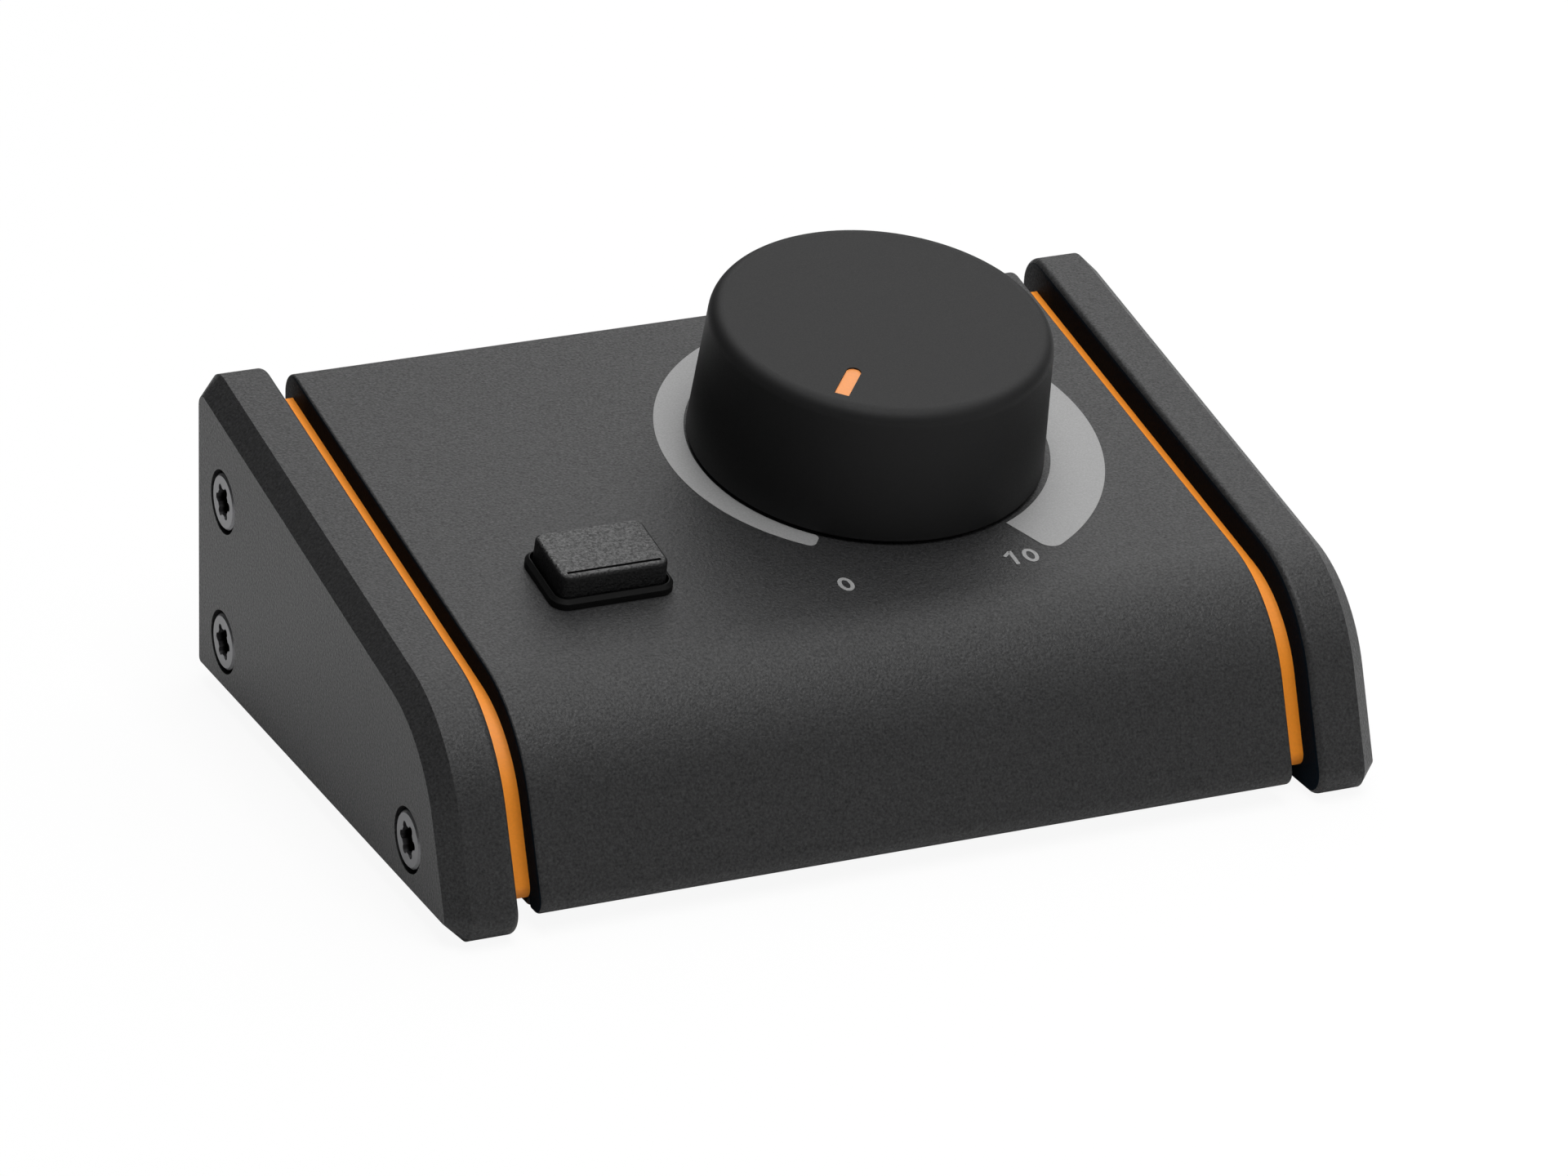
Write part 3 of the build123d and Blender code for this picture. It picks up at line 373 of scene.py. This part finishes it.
# ---------------------------------------------------------------- finishes by material slot
TURNED = (1.0, 1.0, 14.0)               # grain drawn out round a turned piece
PLAIN = {
    "accent_orange": dict(colour=(0.96, 0.30, 0.018), rough=0.5, grain_mm=0.35, spread=0.04, relief=0.12,
                          depth_mm=0.02),
    "base_steel": dict(colour=(0.030, 0.030, 0.032), rough=0.55, grain_mm=0.3, spread=0.25, relief=0.4),
    "black_steel": dict(colour=(0.05, 0.05, 0.055), rough=0.42, grain_mm=0.3, metallic=0.8),
    "foot_rubber": dict(colour=(0.020, 0.020, 0.020), rough=0.85, grain_mm=0.4, relief=0.4),
    "knob_plastic": dict(colour=(0.0045, 0.0045, 0.0048), rough=0.62, grain_mm=0.16, spread=0.10, relief=0.10,
                         depth_mm=0.012, specular=0.275),
    "pointer_orange": dict(colour=(0.72, 0.255, 0.06), rough=0.5, grain_mm=0.3, spread=0.05, relief=0.1),
    "turned_brass": dict(colour=(0.72, 0.52, 0.24), rough=0.3, grain_mm=0.5, spread=0.12, metallic=1.0,
                         vector_scale=TURNED),
    "bezel_plastic": dict(colour=(0.004, 0.004, 0.004), rough=0.5, grain_mm=0.3, relief=0.2, specular=0.12),
    "socket_plastic": dict(colour=(0.020, 0.020, 0.021), rough=0.45, grain_mm=0.35),
    "nickel": dict(colour=(0.68, 0.67, 0.65), rough=0.26, grain_mm=0.5, spread=0.08, metallic=1.0,
                   vector_scale=TURNED),
    "tinned_contact": dict(colour=(0.62, 0.62, 0.60), rough=0.32, grain_mm=0.4, spread=0.1, metallic=1.0),
    "inner_steel": dict(colour=(0.6, 0.6, 0.6), rough=0.35, grain_mm=0.4, spread=0.1, metallic=1.0),
    "pot_plastic": dict(colour=(0.03, 0.03, 0.03), rough=0.5, grain_mm=0.4),
    "connector_cream": dict(colour=(0.85, 0.83, 0.76), rough=0.4, grain_mm=0.5, spread=0.05),
}
finishes = {name: grained(name, **look) for name, look in PLAIN.items()}
finishes.update({
    "powder_coat": make_powder_coat(),
    "cheek_screw_steel": make_screw_steel(),
    "button_plastic": make_button_plastic(),
    "board_green": make_board(),
    "resistor_blue": make_resistor_lacquer(),
    "flat_lead": make_flat_lead(),
})

for part in frame["record"]["subparts"]:
    obj = nodes[part["node"]]
    obj.data.materials.clear()
    obj.data.materials.append(finishes[part["material_slot"]].material)

# ---------------------------------------------------------------- printing on the panel
PRINT_LIFT = 0.004 * MM
PRINT_THICKNESS = 0.03 * MM


def print_on_panel(name, strips, finish):
    """Flat ink on the panel: each strip is given by its two edges, in millimetres in the panel's frame."""
    mesh = bmesh.new()
    for inner, outer in strips:
        rows = []
        for height in (PRINT_LIFT, PRINT_LIFT + PRINT_THICKNESS):
            rows.append([[mesh.verts.new(panel @ Vector((u * MM, v * MM, height))) for u, v in edge]
                         for edge in (inner, outer)])
        (low_in, low_out), (high_in, high_out) = rows
        last = len(inner) - 1
        for i in range(last):
            mesh.faces.new((high_in[i], high_out[i], high_out[i + 1], high_in[i + 1]))
            mesh.faces.new((low_in[i], low_in[i + 1], low_out[i + 1], low_out[i]))
            mesh.faces.new((low_in[i], high_in[i], high_in[i + 1], low_in[i + 1]))
            mesh.faces.new((low_out[i], low_out[i + 1], high_out[i + 1], high_out[i]))
        for i, flip in ((0, False), (last, True)):
            end = [low_in[i], low_out[i], high_out[i], high_in[i]]
            mesh.faces.new(end[::-1] if flip else end)
    bmesh.ops.recalc_face_normals(mesh, faces=mesh.faces)
    data = bpy.data.meshes.new(name)
    mesh.to_mesh(data)
    mesh.free()
    obj = bpy.data.objects.new(name, data)
    bpy.context.scene.collection.objects.link(obj)
    data.materials.append(finish.material)
    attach(obj, "housing")


# level ring: millimetres and degrees in the panel's frame
RING_CENTRE = (0.51, 0.36)
RING_INNER = 22.35
RING_START_OUTER = 24.81
RING_END_OUTER = 29.65
RING_START = -128.9
RING_SWEEP = 297.0
RING_STEPS = 220
START_ROUND = 0.8
END_ROUND = 2.0


def corner_inset(arc_mm, radius):
    """How far a rounded corner pulls an edge in, at a given distance from the corner."""
    if arc_mm >= radius:
        return 0.0
    return radius - (radius ** 2 - (radius - arc_mm) ** 2) ** 0.5


def level_ring():
    """A ring that widens clockwise with the level, from its thin end to its thick one."""
    inner, outer = [], []
    for step in range(RING_STEPS + 1):
        # the steps are denser towards the two rounded ends
        share = (1 - cos(pi * step / RING_STEPS)) / 2
        angle = radians(RING_START - RING_SWEEP * share)
        edge_r = RING_START_OUTER + (RING_END_OUTER - RING_START_OUTER) * share
        from_start = radians(RING_SWEEP) * share * edge_r
        from_end = radians(RING_SWEEP) * (1 - share) * edge_r
        outer_r = edge_r - corner_inset(from_start, START_ROUND) - corner_inset(from_end, END_ROUND)
        inner_r = RING_INNER + corner_inset(from_start, START_ROUND)
        for edge, radius in ((inner, inner_r), (outer, outer_r)):
            edge.append((RING_CENTRE[0] + radius * cos(angle), RING_CENTRE[1] + radius * sin(angle)))
    return [(inner, outer)]


# numerals: millimetres in the panel's frame
NUMERAL_LINE = -27.0
NUMERAL_HEIGHT = 2.7
ZERO_WIDTH = 1.9
ZERO_STEPS = 48
PEN = 0.5
LOW_ZERO = -14.6
HIGH_ONE = 7.4
HIGH_ZERO = 9.6
FLAG = (6.85, -26.15)
FLAG_LENGTH = 1.2
FLAG_PEN = 0.42
FLAG_ANGLE = 40


def zero(u):
    """An oval stroke, as a strip between its inner and its outer edge."""
    inner, outer = [], []
    for step in range(ZERO_STEPS + 1):
        angle = 2 * pi * step / ZERO_STEPS
        for edge, inset in ((inner, PEN), (outer, 0)):
            edge.append((u + (ZERO_WIDTH / 2 - inset) * cos(angle),
                         NUMERAL_LINE + (NUMERAL_HEIGHT / 2 - inset) * sin(angle)))
    return inner, outer


def bar(u, v, length, pen, angle):
    """A straight stroke about its middle, as a strip between its two long edges."""
    def corner(way, edge):
        return (u + way * cos(angle) * length / 2 - edge * sin(angle) * pen / 2,
                v + way * sin(angle) * length / 2 + edge * cos(angle) * pen / 2)

    return [[corner(way, edge) for way in (-1, 1)] for edge in (1, -1)]


def numerals():
    """Plain numbers at the two ends of the turn."""
    return [zero(LOW_ZERO), bar(HIGH_ONE, NUMERAL_LINE, NUMERAL_HEIGHT, PEN, pi / 2),
            bar(*FLAG, FLAG_LENGTH, FLAG_PEN, radians(FLAG_ANGLE)), zero(HIGH_ZERO)]


ink = grained("panel_ink", colour=(0.25, 0.25, 0.25), rough=0.55, grain_mm=0.22, spread=0.14, relief=0.3,
              depth_mm=0.02)
print_on_panel("level_ring_print", level_ring(), ink)
print_on_panel("level_numerals_print", numerals(), ink)


# ---------------------------------------------------------------- floor, world and lights
WHITE = (1, 1, 1, 1)
ROOM_GREY = (0.10, 0.10, 0.10, 1)
FLOOR_SIZE = 8
FLOOR_GREY = (0.85, 0.85, 0.85, 1)
FLOOR_WHITE_SHARE = 0.92
MIDDLE = (0.0, 0.0, 0.02)


def make_floor():
    """A floor that is white to the camera and keeps a soft shadow."""
    bpy.ops.mesh.primitive_plane_add(size=FLOOR_SIZE)
    floor = bpy.context.object
    floor.name = "floor"
    tree = Tree("floor")
    tree.bsdf.inputs["Base Color"].default_value = FLOOR_GREY
    tree.set(Roughness=1, Specular_IOR_Level=0)
    white = tree.add("ShaderNodeEmission")
    white.inputs[0].default_value = WHITE
    mix = tree.add("ShaderNodeMixShader")
    path = tree.add("ShaderNodeLightPath")
    tree.link(tree.maths("MULTIPLY", path.outputs["Is Camera Ray"], FLOOR_WHITE_SHARE), mix.inputs[0])
    tree.link(tree.bsdf.outputs[0], mix.inputs[1])
    tree.link(white.outputs[0], mix.inputs[2])
    tree.link(mix.outputs[0], tree.out.inputs[0])
    floor.data.materials.append(tree.material)


def make_world():
    """A dim grey room that is white to the camera."""
    world = bpy.data.worlds.new("studio")
    bpy.context.scene.world = world
    world.use_nodes = True
    tree = world.node_tree
    tree.nodes.clear()
    out = tree.nodes.new("ShaderNodeOutputWorld")
    mix = tree.nodes.new("ShaderNodeMixShader")
    path = tree.nodes.new("ShaderNodeLightPath")
    tree.links.new(path.outputs["Is Camera Ray"], mix.inputs[0])
    for socket, colour in zip(mix.inputs[1:], (ROOM_GREY, WHITE)):
        background = tree.nodes.new("ShaderNodeBackground")
        background.inputs[0].default_value = colour
        tree.links.new(background.outputs[0], socket)
    tree.links.new(mix.outputs[0], out.inputs[0])


def make_light(name, spot, size, power):
    """A rectangular lamp turned towards the object; place and size in metres, power in watts."""
    data = bpy.data.lights.new(name, "AREA")
    data.shape = "RECTANGLE"
    data.size, data.size_y = size
    data.energy = power
    light = bpy.data.objects.new(name, data)
    light.location = spot
    light.rotation_mode = "QUATERNION"
    light.rotation_quaternion = (Vector(MIDDLE) - Vector(spot)).to_track_quat("-Z", "Y")
    bpy.context.scene.collection.objects.link(light)


make_floor()
make_world()
make_light("rear_softbox", spot=(0.42, 0.50, 0.80), size=(1.1, 1.2), power=7.8)
make_light("overhead", spot=(0.0, -0.32, 1.06), size=(0.6, 0.9), power=10.0)
make_light("front_right_fill", spot=(0.70, -0.70, 0.55), size=(0.5, 0.5), power=1.2)

bpy.context.scene.view_settings.view_transform = "Standard"
